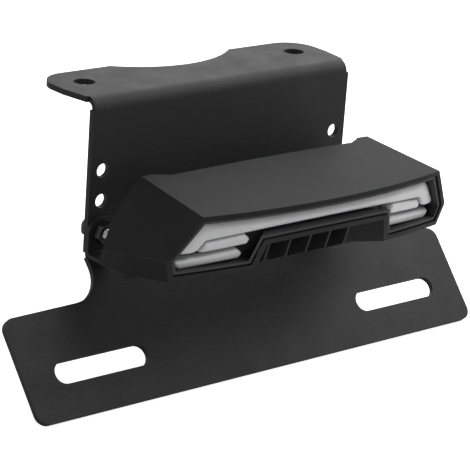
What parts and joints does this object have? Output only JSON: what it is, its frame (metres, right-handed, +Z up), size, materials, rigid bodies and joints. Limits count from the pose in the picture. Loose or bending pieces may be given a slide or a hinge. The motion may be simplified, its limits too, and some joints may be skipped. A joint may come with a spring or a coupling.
{
  "type": "tail tidy",
  "caption": "Motorbike tail tidy: bent sheet bracket with a top fixing flange, a slim tail lamp on small stays and an inclined, slotted number-plate holder.",
  "frame": {"origin": "midway between the centres of the fixing holes, on the upper face of the top flange", "axes": "+X across the motorbike to its right, +Y to its front, +Z up; the lamp and the number plate face -Y"},
  "size_m": [0.22, 0.1038, 0.1081],
  "materials": {
    "powder_coat": "matte black powder coat on steel sheet",
    "lamp_moulding": "matte black moulding",
    "bezel_moulding": "satin black moulding",
    "opal_guide": "milky clear moulding",
    "clear_window": "clear moulding",
    "circuit_board": "green lacquer",
    "light_chip": "resin",
    "screw_steel": "plated",
    "bolt_steel": "blackened, with a bare thread end",
    "seal_rubber": "matte"
  },
  "bodies": {
    "root": {"bracket": "powder_coat", "lamp_cover": "lamp_moulding", "lamp_base": "lamp_moulding", "lamp_seal": "seal_rubber", "lamp_bezel": "bezel_moulding", "main_light_guide": "opal_guide", "left_upper_light_bar": "opal_guide", "right_upper_light_bar": "opal_guide", "left_lower_light_bar": "opal_guide", "right_lower_light_bar": "opal_guide", "tail_led_board": "circuit_board", "tail_leds": "light_chip", "board_screws": "screw_steel", "plate_light_window": "clear_window", "plate_led_board": "circuit_board", "plate_leds": "light_chip", "cover_screws": "screw_steel", "cable_grommet": "seal_rubber", "left_lamp_stay": "powder_coat", "right_lamp_stay": "powder_coat", "stay_screws": "screw_steel", "lamp_bolts": "bolt_steel", "lamp_nuts": "bolt_steel"}
  },
  "joints": []
}
